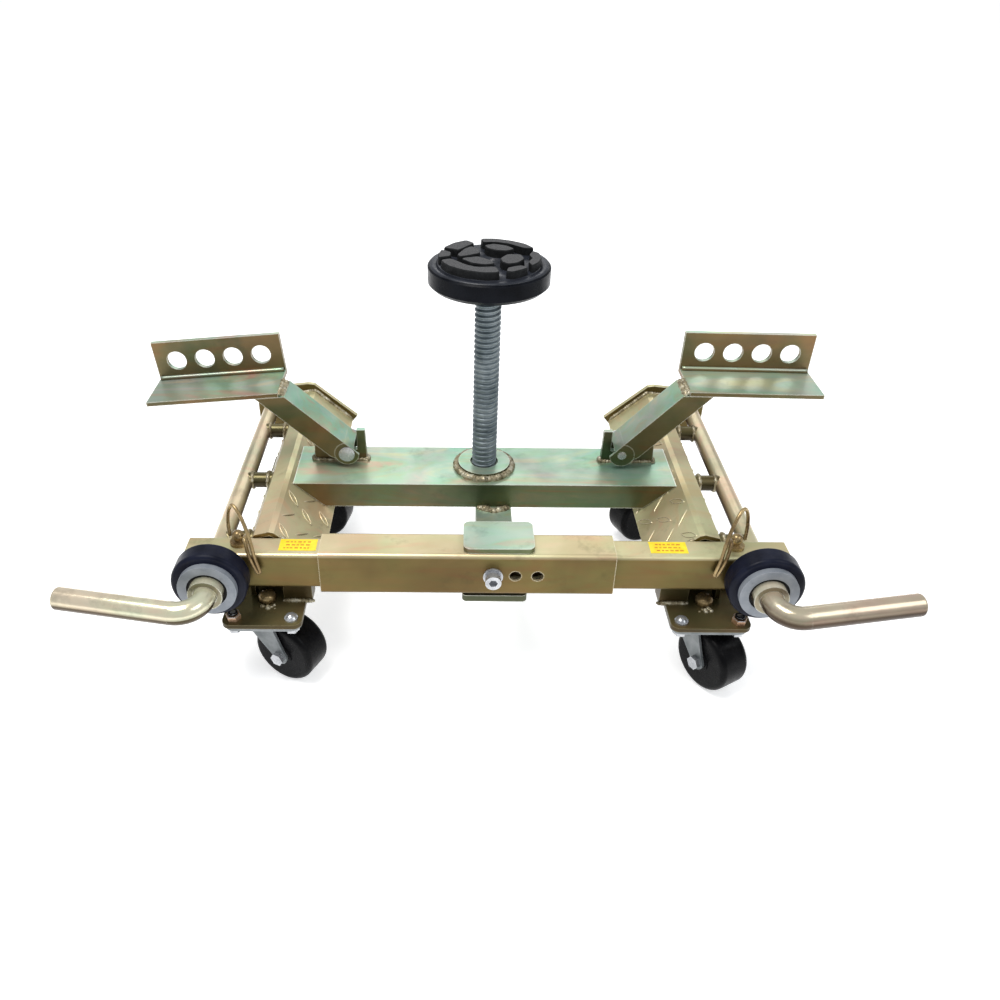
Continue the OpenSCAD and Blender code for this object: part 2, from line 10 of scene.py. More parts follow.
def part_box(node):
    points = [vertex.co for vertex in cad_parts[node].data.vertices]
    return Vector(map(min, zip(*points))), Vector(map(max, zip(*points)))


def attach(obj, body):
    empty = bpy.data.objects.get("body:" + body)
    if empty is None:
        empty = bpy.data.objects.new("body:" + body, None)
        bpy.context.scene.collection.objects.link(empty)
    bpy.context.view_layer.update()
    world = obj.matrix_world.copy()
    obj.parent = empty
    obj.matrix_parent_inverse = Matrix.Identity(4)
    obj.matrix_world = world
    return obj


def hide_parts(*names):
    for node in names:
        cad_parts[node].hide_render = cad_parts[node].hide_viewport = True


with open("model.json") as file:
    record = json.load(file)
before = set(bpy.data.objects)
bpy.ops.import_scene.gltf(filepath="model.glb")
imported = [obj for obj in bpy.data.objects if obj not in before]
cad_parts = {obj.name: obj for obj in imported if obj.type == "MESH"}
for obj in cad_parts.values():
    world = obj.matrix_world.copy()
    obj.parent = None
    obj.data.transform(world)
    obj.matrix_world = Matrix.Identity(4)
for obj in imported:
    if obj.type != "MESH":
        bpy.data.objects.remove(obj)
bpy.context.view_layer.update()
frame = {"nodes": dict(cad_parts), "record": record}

MM = 0.001
SIDES = {"left": -1, "right": 1}
NODES = frame["nodes"]
NODE_SLOT = {p["node"]: p["material_slot"] for p in frame["record"]["subparts"]}
REAR = Vector((0, 1, 0))


# ---- frame sizes ----

def low(node):
    return Vector(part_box(node)[0])


def high(node):
    return Vector(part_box(node)[1])


def centre(node):
    return (low(node) + high(node)) / 2


def joint_point(name):
    """A point on a joint's axis at rest."""
    joint = next(j for j in frame["record"]["behaviour"]["joints"] if j["name"] == name)
    return Vector(joint.get("pos_m", (0, 0, 0)))


def cradle_reach(side):
    """How far from the middle a side's cradle plate starts and ends, and the height of its crest."""
    lo, hi = low(f"{side}_cradle_plate"), high(f"{side}_cradle_plate")
    return min(abs(lo.x), abs(hi.x)), max(abs(lo.x), abs(hi.x)), hi.z


# ---- node materials ----

class Graph:
    """Short names for building a material's nodes."""

    def __init__(self, name):
        self.mat = bpy.data.materials.new(name)
        self.mat.use_nodes = True
        self.tree = self.mat.node_tree
        self.shader = self.tree.nodes["Principled BSDF"]
        self.texture = self.tree.nodes.new("ShaderNodeTexCoord")
        self.coords = self.texture.outputs["Object"]

    def node(self, kind, **values):
        made = self.tree.nodes.new(kind)
        for key, value in values.items():
            if key in made.inputs:
                made.inputs[key].default_value = value
            else:
                setattr(made, key, value)
        return made

    def link(self, a, b):
        self.tree.links.new(a, b)

    def stretched(self, scale):
        mapping = self.node("ShaderNodeMapping", Scale=scale)
        self.link(self.coords, mapping.inputs["Vector"])
        return mapping.outputs["Vector"]

    def noise(self, scale, detail=4.0, rough=0.5, coords=None, distortion=0.0):
        made = self.node("ShaderNodeTexNoise", Scale=scale, Detail=detail, Roughness=rough,
                         Distortion=distortion)
        self.link(coords or self.coords, made.inputs["Vector"])
        return made.outputs["Fac"]

    def ramp(self, fac, stops, smooth=False):
        made = self.tree.nodes.new("ShaderNodeValToRGB")
        made.color_ramp.interpolation = "B_SPLINE" if smooth else "LINEAR"
        for i, (place, colour) in enumerate(stops):
            if i < 2:
                stop = made.color_ramp.elements[i]
                stop.position = place
            else:
                stop = made.color_ramp.elements.new(place)
            stop.color = (*colour, 1)
        self.link(fac, made.inputs["Fac"])
        return made.outputs["Color"]

    def grey(self, fac, places):
        return self.ramp(fac, [(p, (v, v, v)) for p, v in places])

    def mix(self, fac, a, b, blend="MIX"):
        made = self.node("ShaderNodeMix", data_type="RGBA", blend_type=blend)
        for index, value in ((0, fac), (6, a), (7, b)):
            if isinstance(value, (int, float)):
                made.inputs[index].default_value = value
            elif isinstance(value, tuple):
                made.inputs[index].default_value = (*value, 1)
            else:
                self.link(value, made.inputs[index])
        return made.outputs[2]

    def math(self, op, a, b=0.0, clamp=False):
        made = self.node("ShaderNodeMath", operation=op, use_clamp=clamp)
        for index, value in ((0, a), (1, b)):
            if isinstance(value, (int, float)):
                made.inputs[index].default_value = value
            else:
                self.link(value, made.inputs[index])
        return made.outputs[0]

    def component(self, vector, axis):
        split = self.tree.nodes.new("ShaderNodeSeparateXYZ")
        self.link(vector, split.inputs[0])
        return split.outputs[axis]

    def upward(self):
        """From 0 facing down to 1 facing up, by the object's own normal."""
        z = self.component(self.texture.outputs["Normal"], 2)
        return self.math("ADD", self.math("MULTIPLY", z, 0.5), 0.5)

    def warmth(self, up, noise, amount):
        """Brown tint of the surfaces that don't face up, far from the middle of the dolly."""
        far = self.grey(self.math("ABSOLUTE", self.component(self.coords, 0)), [(0.13, 0.0), (0.19, 1.0)])
        patchy = self.grey(noise, [(0.40, 0.25), (0.62, 1.0)])
        down = self.math("SUBTRACT", 1.0, up)
        return self.math("MULTIPLY", self.math("MULTIPLY", self.math("MULTIPLY", far, patchy), down), amount)

    def edges(self, width, strength):
        """1 on edges, where a painted highlight brightens the colour, 0 elsewhere."""
        bevel = self.node("ShaderNodeBevel", samples=4, Radius=width)
        dot = self.node("ShaderNodeVectorMath", operation="DOT_PRODUCT")
        geometry = self.tree.nodes.new("ShaderNodeNewGeometry")
        self.link(bevel.outputs[0], dot.inputs[0])
        self.link(geometry.outputs["Normal"], dot.inputs[1])
        return self.math("MULTIPLY", self.math("SUBTRACT", 1.0, dot.outputs["Value"]), strength, True)

    def bump(self, height, strength, distance):
        made = self.node("ShaderNodeBump", Strength=strength, Distance=distance)
        self.link(height, made.inputs["Height"])
        self.link(made.outputs["Normal"], self.shader.inputs["Normal"])

    def set(self, **values):
        for key, value in values.items():
            socket = self.shader.inputs[key.replace("_", " ")]
            if hasattr(value, "is_linked"):
                self.link(value, socket)
            else:
                socket.default_value = value


def passivated(name, tops, sides, films, rough=(0.28, 0.44), film_amount=0.7, turn=(0.575, 0.875),
               heat=0.0, sunk=None):
    """Yellow-passivated zinc: a pale tone on faces turned up as painted light and a dark tone on the others
    as painted shade, under iridescent streaks and stains.

    turn is where the dark tone ends and the pale one begins, heat browns the outer sides, and what lies
    below the height sunk is painted dark, a painted shade.
    """
    g = Graph(name)
    soft = g.noise(9.0, 3.0, 0.5, distortion=0.6)
    fine = g.noise(60.0, 6.0, 0.6)
    clouds = g.noise(20.0, 5.0, 0.6, coords=g.stretched((0.3, 1.0, 1.7)), distortion=1.6)
    drift = g.noise(11.0, 2.0, 0.5, coords=g.stretched((1.0, 0.8, 1.3)), distortion=0.8)
    # Painted light and shade: faces turned up take the pale tone, the others the dark one.
    top = g.ramp(soft, [(0.35, tops[0]), (0.65, tops[1])], smooth=True)
    side = g.ramp(soft, [(0.35, sides[0]), (0.65, sides[1])], smooth=True)
    up = g.grey(g.upward(), [(turn[0], 0.0), (turn[1], 1.0)])
    base = g.mix(up, side, top)
    streaks = g.ramp(clouds, [(0.32, films[0]), (0.44, films[1]), (0.55, films[2]), (0.68, films[3])],
                     smooth=True)
    base = g.mix(film_amount, base, streaks, "MULTIPLY")
    wash = g.ramp(drift, [(0.36, films[1]), (0.50, films[3]), (0.64, films[0])], smooth=True)
    base = g.mix(film_amount * 0.6, base, wash, "MULTIPLY")
    stains = g.grey(g.noise(28.0, 8.0, 0.7), [(0.56, 0.0), (0.74, 0.35)])
    base = g.mix(stains, base, tuple(c * 0.45 for c in sides[0]))
    # Painted shade: the colour is darkened below the height sunk.
    if sunk:
        painted_shade_below = g.grey(g.component(g.coords, 2), [(sunk, 0.85), (sunk + 0.02, 0.0)])
        base = g.mix(painted_shade_below, base, tuple(c * 0.8 for c in sides[0]))
    if heat:
        base = g.mix(g.warmth(up, soft, heat), base, (0.24, 0.125, 0.055))
    # Painted highlight along the rounded edges.
    base = g.mix(g.edges(0.0018, 2.0), base, tuple(min(1.0, c * 1.2) for c in tops[1]))
    g.set(Base_Color=base, Metallic=0.6, Specular_IOR_Level=0.4)
    spots = g.math("ADD", g.math("MULTIPLY", fine, 0.5), g.math("MULTIPLY", soft, 0.5))
    g.set(Roughness=g.grey(spots, [(0.35, rough[0]), (0.65, rough[1])]))
    g.bump(g.math("ADD", fine, g.math("MULTIPLY", g.noise(240.0, 3.0), 0.4)), 0.12, 0.0006)
    return g.mat


def plain_metal(name, dark, light, rough, metallic):
    """Bright, galvanised or brass-coloured metal, with dirt, and a painted highlight on its edges."""
    scale, bump = 40.0, 0.15
    g = Graph(name)
    clouds = g.noise(scale, 5.0, 0.6)
    base = g.ramp(clouds, [(0.35, dark), (0.65, light)])
    dirt = g.grey(g.noise(scale * 2.2, 8.0, 0.7), [(0.58, 0.0), (0.75, 0.5)])
    base = g.mix(dirt, base, tuple(c * 0.4 for c in dark))
    # Painted highlight along the rounded edges.
    base = g.mix(g.edges(0.0009, 4.0), base, tuple(min(1.0, c * 1.3) for c in light))
    g.set(Base_Color=base, Metallic=metallic)
    g.set(Roughness=g.grey(g.noise(scale * 3.0, 4.0), [(0.35, rough[0]), (0.65, rough[1])]))
    g.bump(g.noise(scale * 8.0, 4.0), bump, 0.0004)
    return g.mat


def moulded(name, dark, light, rough, scale=50.0, bump=0.2, dust=0.25, gloss=0.12, worn=None):
    """Rubber, polyurethane or painted black, with dusty scuffs and, with worn, paler tops."""
    g = Graph(name)
    base = g.ramp(g.noise(scale, 4.0), [(0.35, dark), (0.65, light)])
    scuffs = g.grey(g.noise(scale * 0.7, 9.0, 0.75, coords=g.stretched((1.0, 0.4, 1.0))),
                    [(0.55, 0.0), (0.72, dust)])
    base = g.mix(scuffs, base, (0.07, 0.068, 0.064))
    if worn:
        grain = g.grey(g.noise(900.0, 6.0, 0.8), [(0.38, 0.25), (0.62, 1.0)])
        up = g.grey(g.upward(), [(0.93, 0.0), (0.985, 1.0)])
        base = g.mix(g.math("MULTIPLY", grain, up), base, worn)
    # Painted highlight: the rounded edges are paler.
    base = g.mix(g.edges(0.0012, 2.0), base, tuple(min(1.0, c * 2.0 + 0.01) for c in light))
    g.set(Base_Color=base, Metallic=0.0, Specular_IOR_Level=gloss)
    g.set(Roughness=g.grey(g.noise(scale * 2.5, 5.0), [(0.35, rough[0]), (0.65, rough[1])]))
    g.bump(g.noise(scale * 9.0, 5.0, 0.6), bump, 0.0005)
    return g.mat


def weld_metal():
    g = Graph("weld_metal")
    tones = [(0.32, (0.10, 0.075, 0.04)), (0.50, (0.34, 0.29, 0.18)), (0.70, (0.74, 0.71, 0.58))]
    base = g.ramp(g.noise(120.0, 6.0, 0.7), tones)
    g.set(Base_Color=base, Metallic=0.5)
    g.set(Roughness=g.grey(g.noise(150.0, 4.0), [(0.3, 0.25), (0.7, 0.6)]))
    g.bump(g.noise(420.0, 5.0, 0.7), 0.5, 0.0008)
    return g.mat


def label_face():
    """A yellow sticker: the printed bars are pieces of their own."""
    g = Graph("label_yellow")
    base = g.ramp(g.noise(90.0, 4.0), [(0.35, (0.78, 0.58, 0.01)), (0.65, (0.93, 0.74, 0.03))])
    g.set(Base_Color=base, Roughness=0.38)
    g.bump(g.noise(140.0, 3.0), 0.1, 0.0003)
    return g.mat


def label_ink():
    g = Graph("label_ink")
    g.set(Base_Color=g.ramp(g.noise(200.0, 3.0), [(0.3, (0.55, 0.16, 0.01)), (0.7, (0.62, 0.30, 0.02))]))
    g.set(Roughness=0.5)
    return g.mat


def floor_paint():
    g = Graph("pale_floor")
    g.set(Base_Color=g.ramp(g.noise(6.0, 3.0), [(0.3, (0.86, 0.86, 0.86)), (0.7, (0.89, 0.89, 0.89))]))
    g.set(Emission_Color=(1.0, 1.0, 1.0, 1.0), Emission_Strength=0.56)
    g.set(Roughness=g.grey(g.noise(30.0, 3.0), [(0.3, 0.75), (0.7, 0.9)]))
    return g.mat


# Pale tones for faces turned up, painted light, dark tones for the other faces, painted shade, and iridescent
# films, as pairs or rows of linear colours
CREAM = [(0.56, 0.49, 0.33), (0.78, 0.71, 0.54)]
OLIVE = [(0.090, 0.062, 0.020), (0.180, 0.134, 0.048)]
MINT = [(0.42, 0.46, 0.42), (0.76, 0.76, 0.68)]
MOSS = [(0.068, 0.080, 0.042), (0.190, 0.165, 0.092)]
FILM_WARM = [(1.0, 0.74, 0.66), (0.82, 0.98, 0.76), (1.0, 0.96, 0.88), (1.0, 0.86, 0.64)]
FILM_COOL = [(1.0, 0.66, 0.62), (0.58, 0.96, 0.74), (0.74, 0.88, 1.0), (1.0, 0.98, 0.72)]
MATERIALS = {
    "zinc_gold": passivated("zinc_gold", CREAM, OLIVE, FILM_WARM),
    "zinc_green": passivated("zinc_green", MINT, MOSS, FILM_COOL, film_amount=0.95, heat=0.75),
    # The jaws' green zinc with painted shade below 0.125 m, under the sleeve.
    "zinc_jaw": passivated("zinc_jaw", MINT, MOSS, FILM_COOL, sunk=0.125),
    # A darker copy of the gold zinc: painted shade for the mount plates, risers and rod lugs.
    "zinc_painted_shade": passivated("zinc_painted_shade", [(0.11, 0.095, 0.05), (0.20, 0.17, 0.09)],
                             [(0.030, 0.024, 0.010), (0.075, 0.055, 0.022)], FILM_WARM),
    # The handles turn steeply from pale tops to dark undersides: painted light and painted shade.
    "handle_gold": passivated("handle_gold", [(0.70, 0.66, 0.54), (0.88, 0.85, 0.74)],
                              [(0.050, 0.034, 0.016), (0.12, 0.085, 0.045)],
                              FILM_WARM, rough=(0.16, 0.28), film_amount=0.5, turn=(0.46, 0.62)),
    "rod_rose": passivated("rod_rose", [(0.62, 0.52, 0.42), (0.84, 0.74, 0.62)],
                           [(0.085, 0.050, 0.028), (0.16, 0.105, 0.062)], FILM_WARM, turn=(0.50, 0.85)),
    "handle_rose": passivated("handle_rose", [(0.46, 0.39, 0.33), (0.66, 0.59, 0.52)],
                              [(0.030, 0.019, 0.012), (0.075, 0.048, 0.030)],
                              FILM_WARM, rough=(0.16, 0.28), film_amount=0.6, turn=(0.52, 0.84)),
    "zinc_plain": plain_metal("zinc_plain", (0.30, 0.31, 0.33), (0.62, 0.63, 0.65), (0.14, 0.30),
                              metallic=0.7),
    "galvanised": plain_metal("galvanised", (0.11, 0.14, 0.155), (0.25, 0.29, 0.31), (0.28, 0.45),
                              metallic=0.55),
    "fork_zinc": plain_metal("fork_zinc", (0.13, 0.145, 0.15), (0.26, 0.275, 0.28), (0.35, 0.55),
                             metallic=0.45),
    "rim_grey": plain_metal("rim_grey", (0.18, 0.20, 0.23), (0.27, 0.29, 0.32), (0.40, 0.58),
                            metallic=0.2),
    "tyre_navy": moulded("tyre_navy", (0.003, 0.004, 0.010), (0.008, 0.010, 0.022), (0.30, 0.45),
                         dust=0.12),
    "bush_black": moulded("bush_black", (0.002, 0.002, 0.002), (0.006, 0.006, 0.006), (0.4, 0.6)),
    "caster_black": moulded("caster_black", (0.002, 0.002, 0.0025), (0.006, 0.006, 0.0065),
                            (0.20, 0.36), dust=0.06, gloss=0.07),
    "cup_black": moulded("cup_black", (0.002, 0.0025, 0.004), (0.005, 0.006, 0.009), (0.22, 0.36),
                         dust=0.05, gloss=0.06, bump=0.05),
    "pad_rubber": moulded("pad_rubber", (0.004, 0.0045, 0.005), (0.010, 0.011, 0.012), (0.62, 0.85),
                          scale=140.0, bump=1.0, dust=0.1, gloss=0.2, worn=(0.105, 0.105, 0.108)),
    "pad_floor": moulded("pad_floor", (0.012, 0.014, 0.020), (0.026, 0.029, 0.038), (0.25, 0.4),
                         bump=0.05, gloss=0.25),
    "brass_wire": plain_metal("brass_wire", (0.16, 0.10, 0.04), (0.42, 0.31, 0.15), (0.2, 0.35),
                              metallic=0.6),
    "pink_brass": plain_metal("pink_brass", (0.38, 0.22, 0.13), (0.66, 0.46, 0.30), (0.2, 0.35),
                              metallic=0.6),
    "weld_metal": weld_metal(),
    "label_yellow": label_face(),
    "label_ink": label_ink(),
}


# ---- meshes ----

def add_piece(name, verts, faces, material, body, smooth=True):
    """A visible piece with one of the materials, that moves with a body."""
    mesh = bpy.data.meshes.new(name)
    mesh.from_pydata([tuple(v) for v in verts], [], faces)
    mesh.validate()
    mesh.update()
    piece = bpy.data.objects.new(name, mesh)
    bpy.context.scene.collection.objects.link(piece)
    piece.data.materials.append(MATERIALS[material])
    for face in mesh.polygons:
        face.use_smooth = smooth
    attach(piece, body)
    return piece


def resampled(points, step, closed=False):
    """Points every step along a path."""
    path = [Vector(p) for p in points]
    if closed:
        path.append(path[0])
    out = []
    for a, b in zip(path, path[1:]):
        count = max(1, round((b - a).length / step))
        out += [a.lerp(b, i / count) for i in range(count)]
    return out if closed else out + [path[-1]]


def tube(points, radius, segments=8, closed=False):
    """A tube along a path, its ring at each point carried on from the last one's."""
    count = len(points)
    tangents = []
    for i in range(count):
        before = points[(i - 1) % count] if closed or i > 0 else points[i]
        after = points[(i + 1) % count] if closed or i < count - 1 else points[i]
        tangents.append((after - before).normalized())
    normal = tangents[0].orthogonal().normalized()
    verts, faces = [], []
    for i, point in enumerate(points):
        normal = (normal - tangents[i] * normal.dot(tangents[i])).normalized()
        across = tangents[i].cross(normal)
        for k in range(segments):
            turn = 2 * math.pi * k / segments
            spoke = normal * math.cos(turn) + across * math.sin(turn)
            verts.append(point + spoke * radius(i))
    for i in range(count if closed else count - 1):
        for k in range(segments):
            j, m = (i + 1) % count, (k + 1) % segments
            faces.append((i * segments + k, i * segments + m, j * segments + m, j * segments + k))
    if not closed:
        faces.append(tuple(range(segments))[::-1])
        faces.append(tuple((count - 1) * segments + k for k in range(segments)))
    return verts, faces


def lathe(profile, segments, place):
    """A closed (radius, height) outline turned about Z and moved by a matrix."""
    verts, faces = [], []
    size = len(profile)
    for i in range(segments):
        turn = 2 * math.pi * i / segments
        for r, z in profile:
            verts.append(place @ Vector((r * math.cos(turn), r * math.sin(turn), z)))
    for i in range(segments):
        j = (i + 1) % segments
        for k in range(size):
            m = (k + 1) % size
            faces.append((i * size + k, j * size + k, j * size + m, i * size + m))
    return verts, faces


def joined(parts):
    """Several (vertices, faces) pairs as one."""
    verts, faces = [], []
    for more_verts, more_faces in parts:
        start = len(verts)
        verts += more_verts
        faces += [tuple(i + start for i in face) for face in more_faces]
    return verts, faces


def add_weld(name, path, size, body, seed, closed=False):
    """A bead of overlapping ripples along a path."""
    rng = random.Random(seed)
    step = 1.1 * MM
    points = resampled(path, step, closed)
    phase = 0.0
    radii = []
    for i, point in enumerate(points):
        phase += 2 * math.pi * step / ((2.6 + 0.8 * rng.random()) * MM)
        ends = 1.0 if closed else min(1.0, 0.55 + 0.12 * min(i, len(points) - 1 - i))
        radii.append(size * ends * (1 + 0.13 * math.sin(phase) + 0.10 * (rng.random() - 0.5)))
        points[i] = point + Vector([(rng.random() - 0.5) * 0.25 * size for _ in range(3)])
    verts, faces = tube(points, lambda i: radii[i], 8, closed)
    return add_piece(name, verts, faces, "weld_metal", body)


def circle(centre_point, r, axis="z", count=64):
    """Points round an axis."""
    out = []
    for i in range(count):
        a = 2 * math.pi * i / count
        c, s = r * math.cos(a), r * math.sin(a)
        offset = {"x": (0, c, s), "y": (c, 0, s), "z": (c, s, 0)}[axis]
        out.append(Vector(centre_point) + Vector(offset))
    return out


# ---- CAD nodes: materials and rounded edges ----

# Nodes that look different from their slot; the mount plates, risers and rod lugs get a darker copy of the
# gold zinc as painted shade
LOOKS = {"right_handle": "handle_rose", "clamp_jaws": "zinc_jaw"}
# Widths of the rounded edges in mm, where they aren't EDGE
EDGE = 0.7
EDGES = {"sleeve_tube": 2.2, "crossbeam": 3.0, "connecting_bar": 2.0, "clamp_jaws": 1.4, "arm_brackets": 1.2,
         "pad_cup": 2.0}
for side_name in SIDES:
    for part, look in {"mount_plates": "zinc_painted_shade", "risers": "zinc_painted_shade", "rod_lugs": "zinc_painted_shade",
                       "side_rod": "rod_rose", "lock_pin": "brass_wire"}.items():
        LOOKS[f"{side_name}_{part}"] = look
    for part, width in {"inner_tube": 2.0, "arm": 2.2, "cradle_plate": 4.0, "risers": 1.2}.items():
        EDGES[f"{side_name}_{part}"] = width


def dress_nodes():
    """Every CAD node gets its procedural material, and its folded and cut edges are rounded."""
    for name, node in NODES.items():
        node.data.materials.clear()
        node.data.materials.append(MATERIALS[LOOKS.get(name, NODE_SLOT[name])])
        bevel = node.modifiers.new("rounded_edges", "BEVEL")
        bevel.width = EDGES.get(name, EDGE) * MM
        bevel.segments = 3
        bevel.limit_method = "ANGLE"
        bevel.angle_limit = math.radians(40)
        for face in node.data.polygons:
            face.use_smooth = True
        by_angle = node.modifiers.new("weighted", "WEIGHTED_NORMAL")
        by_angle.keep_sharp = True


# ---- screw ----

def build_screw():
    """The rolled trapezoidal thread, one helix from end to end."""
    lo, hi = low("lift_screw"), high("lift_screw")
    major = (hi.x - lo.x) / 2
    depth = 2.6 * MM
    pitch = 6.0 * MM
    mid = centre("lift_screw")
    around, per_pitch = 48, 12
    end_drop = 0.5 * MM
    rows = round((hi.z - lo.z) / pitch * per_pitch)
    verts, faces = [], []
    for i in range(rows + 1):
        z = lo.z + (hi.z - lo.z) * i / rows
        fade = min(1.0, 1.4 * min(i, rows - i) / per_pitch)
        for k in range(around):
            turn = 2 * math.pi * k / around
            wave = math.cos(2 * math.pi * (z / pitch - k / around))
            crest = 0.5 + 0.5 * max(-1.0, min(1.0, 1.6 * wave))
            r = major - depth * (1 - crest) * fade - end_drop * (1 - fade)
            verts.append(Vector((mid.x + r * math.cos(turn), mid.y + r * math.sin(turn), z)))
    for i in range(rows):
        for k in range(around):
            m = (k + 1) % around
            faces.append((i * around + k, i * around + m, (i + 1) * around + m, (i + 1) * around + k))
    faces.append(tuple(range(around))[::-1])
    faces.append(tuple(rows * around + k for k in range(around)))
    screw = add_piece("screw_thread", verts, faces, "galvanised", "lift_screw")
    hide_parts("lift_screw")


# ---- pad rubber ----

# Outlines of the raised blocks seen from above, in fractions of the rubber's radius; +Y is the back
PAD_BLOCKS = [
    [(-0.89, 0.39), (-0.69, 0.70), (-0.42, 0.87), (-0.26, 0.68), (-0.39, 0.50), (-0.58, 0.25), (-0.74, 0.33)],
    [(-0.98, 0.06), (-0.91, 0.30), (-0.71, 0.16), (-0.72, -0.08), (-0.96, -0.17)],
    [(-0.62, 0.02), (-0.50, 0.34), (-0.34, 0.52), (-0.20, 0.40), (-0.16, 0.12), (-0.36, -0.01),
     (-0.57, -0.09)],
    [(-0.56, -0.20), (-0.22, -0.07), (0.0, -0.26), (0.10, -0.48), (-0.10, -0.55), (-0.34, -0.47)],
    [(-0.93, -0.30), (-0.74, -0.20), (-0.47, -0.52), (-0.22, -0.68), (0.12, -0.64), (0.17, -0.93),
     (-0.11, -0.97), (-0.50, -0.84), (-0.78, -0.60)],
    [(-0.16, 0.96), (0.13, 0.97), (0.44, 0.87), (0.72, 0.66), (0.88, 0.40), (0.68, 0.40), (0.42, 0.64),
     (0.13, 0.76), (-0.12, 0.74)],
    [(-0.10, 0.54), (0.10, 0.64), (0.36, 0.53), (0.50, 0.33), (0.34, 0.21), (0.11, 0.25), (-0.04, 0.36)],
    [(0.18, -0.18), (0.33, 0.06), (0.60, 0.05), (0.66, -0.20), (0.53, -0.42), (0.33, -0.50), (0.21, -0.38)],
    [(0.74, 0.04), (0.83, 0.26), (0.95, 0.14), (0.98, -0.16), (0.88, -0.42), (0.76, -0.57), (0.70, -0.38),
     (0.78, -0.18)],
    [(0.30, -0.66), (0.56, -0.53), (0.70, -0.64), (0.56, -0.79), (0.38, -0.90), (0.27, -0.86)],
]


def rounded(outline):
    """An outline with its corners cut, twice."""
    points = [Vector(p) for p in outline]
    for _ in range(2):
        sides = zip(points, points[1:] + points[:1])
        points = [q for a, b in sides for q in (a.lerp(b, 0.14), a.lerp(b, 0.86))]
    return points


def block(outline, mid, r, z0, z1):
    """A raised block: walls that lean in a little and a top with a rounded shoulder."""
    points = rounded(outline)
    heart = sum(points, Vector((0, 0))) / len(points)
    n = len(points)
    verts = []
    for lean, z in ((0.0, z0), (0.5 * MM, z1 - 1.0 * MM), (1.2 * MM, z1)):
        for p in points:
            inward = (heart - p).normalized()
            q = p * r + inward * lean
            verts.append(Vector((mid.x + q.x, mid.y + q.y, z)))
    faces = [tuple(range(n))[::-1], tuple(range(2 * n, 3 * n))]
    for a in range(2):
        for k in range(n):
            m = (k + 1) % n
            faces.append((a * n + k, a * n + m, (a + 1) * n + m, (a + 1) * n + k))
    return verts, faces


def build_pad():
    """A rubber disc with rough raised blocks in two halves, parted by a wide curved channel."""
    lo, hi = low("pad_rubber"), high("pad_rubber")
    mid = centre("pad_rubber")
    upright = Matrix.Translation((mid.x, mid.y, 0))
    core = 0.0001
    r = (hi.x - lo.x) / 2
    rng = random.Random(11)
    floor_z = hi.z - 8.5 * MM
    profile = [(core, lo.z), (r, lo.z), (r, floor_z - 1 * MM), (r - 1 * MM, floor_z), (core, floor_z)]
    verts, faces = lathe(profile, 96, upright)
    add_piece("pad_base", verts, faces, "pad_floor", "lift_pad")
    rim = high("pad_cup").z
    rim_r = (high("pad_cup").x - low("pad_cup").x) / 2
    profile = [(r - 1 * MM, rim - 1 * MM), (rim_r - 2.4 * MM, rim - 1 * MM),
               (rim_r - 2.2 * MM, rim + 0.1 * MM), (r + 3 * MM, rim + 0.7 * MM), (r - 1 * MM, rim + 1.4 * MM)]
    verts, faces = lathe(profile, 96, upright)
    add_piece("pad_shoulder", verts, faces, "pad_floor", "lift_pad")
    foot_z = floor_z - 0.5 * MM
    parts = [block(outline, mid, r, foot_z, hi.z - rng.random() * 0.9 * MM) for outline in PAD_BLOCKS]
    verts, faces = joined(parts)
    pad = add_piece("pad_blocks", verts, faces, "pad_rubber", "lift_pad", smooth=False)
    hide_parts("pad_rubber")


# ---- spring bails ----

def smooth_path(points, per_span=8):
    """A Catmull-Rom curve through the points."""
    out = []
    for i in range(len(points) - 1):
        p0, p1 = points[max(i - 1, 0)], points[i]
        p2, p3 = points[i + 1], points[min(i + 2, len(points) - 1)]
        for k in range(per_span):
            t = k / per_span
            out.append(0.5 * (2 * p1 + (p2 - p0) * t + (2 * p0 - 5 * p1 + 4 * p2 - p3) * t * t
                              + (3 * p1 - p0 - 3 * p2 + p3) * t ** 3))
    return out + [points[-1]]


def build_bail(side):
    """The spring wire of a lock pin, on the CAD wire's route from one side of its knob to the other."""
    sign = SIDES[side]
    pivot = joint_point(f"{side}_bail_swing")
    route = [(8.1, 0, 0), (8.6, 2, 15), (5.5, 1, 31), (-0.5, -3, 39), (-8.5, -11, 32),
             (-15.5, -18, 14), (-20, -23.5, -9), (-23.6, -24.2, -26), (-22.6, -24.2, -28),
             (-20.6, -24, -27), (-15, -23.5, -9), (-10.5, -15, 6), (-8.1, 0, 0)]
    points = [pivot + Vector((sign * x, y, z)) * MM for x, y, z in route]
    path = resampled(smooth_path(points), 1.2 * MM)
    verts, faces = tube(path, lambda i: 1.9 * MM, 12)
    wire = add_piece(f"{side}_bail_wire", verts, faces, "brass_wire", f"{side}_bail")
    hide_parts(f"{side}_bail")


# ---- checker plate ----

def tear(centre_point, along, across, up, length, width, height):
    """One raised stroke of the checker plate, a long lens with a rounded back."""
    verts, faces = [], []
    rows, cols = 10, 5
    sunk = 0.1 * MM
    for i in range(rows + 1):
        t = i / rows
        half = width / 2 * math.sin(math.pi * t) ** 0.7 + 1e-5
        for k in range(cols):
            s = -1 + 2 * k / (cols - 1)
            rise = height * (1 - s * s) * math.sin(math.pi * t) ** 0.5
            verts.append(centre_point + along * (t - 0.5) * length + across * s * half + up * (rise - sunk))
    for i in range(rows):
        for k in range(cols - 1):
            a = i * cols + k
            faces.append((a, a + 1, a + cols + 1, a + cols))
    rim = [i * cols for i in range(rows + 1)] + [i * cols + cols - 1 for i in range(rows, -1, -1)]
    faces.append(tuple(rim))
    return verts, faces


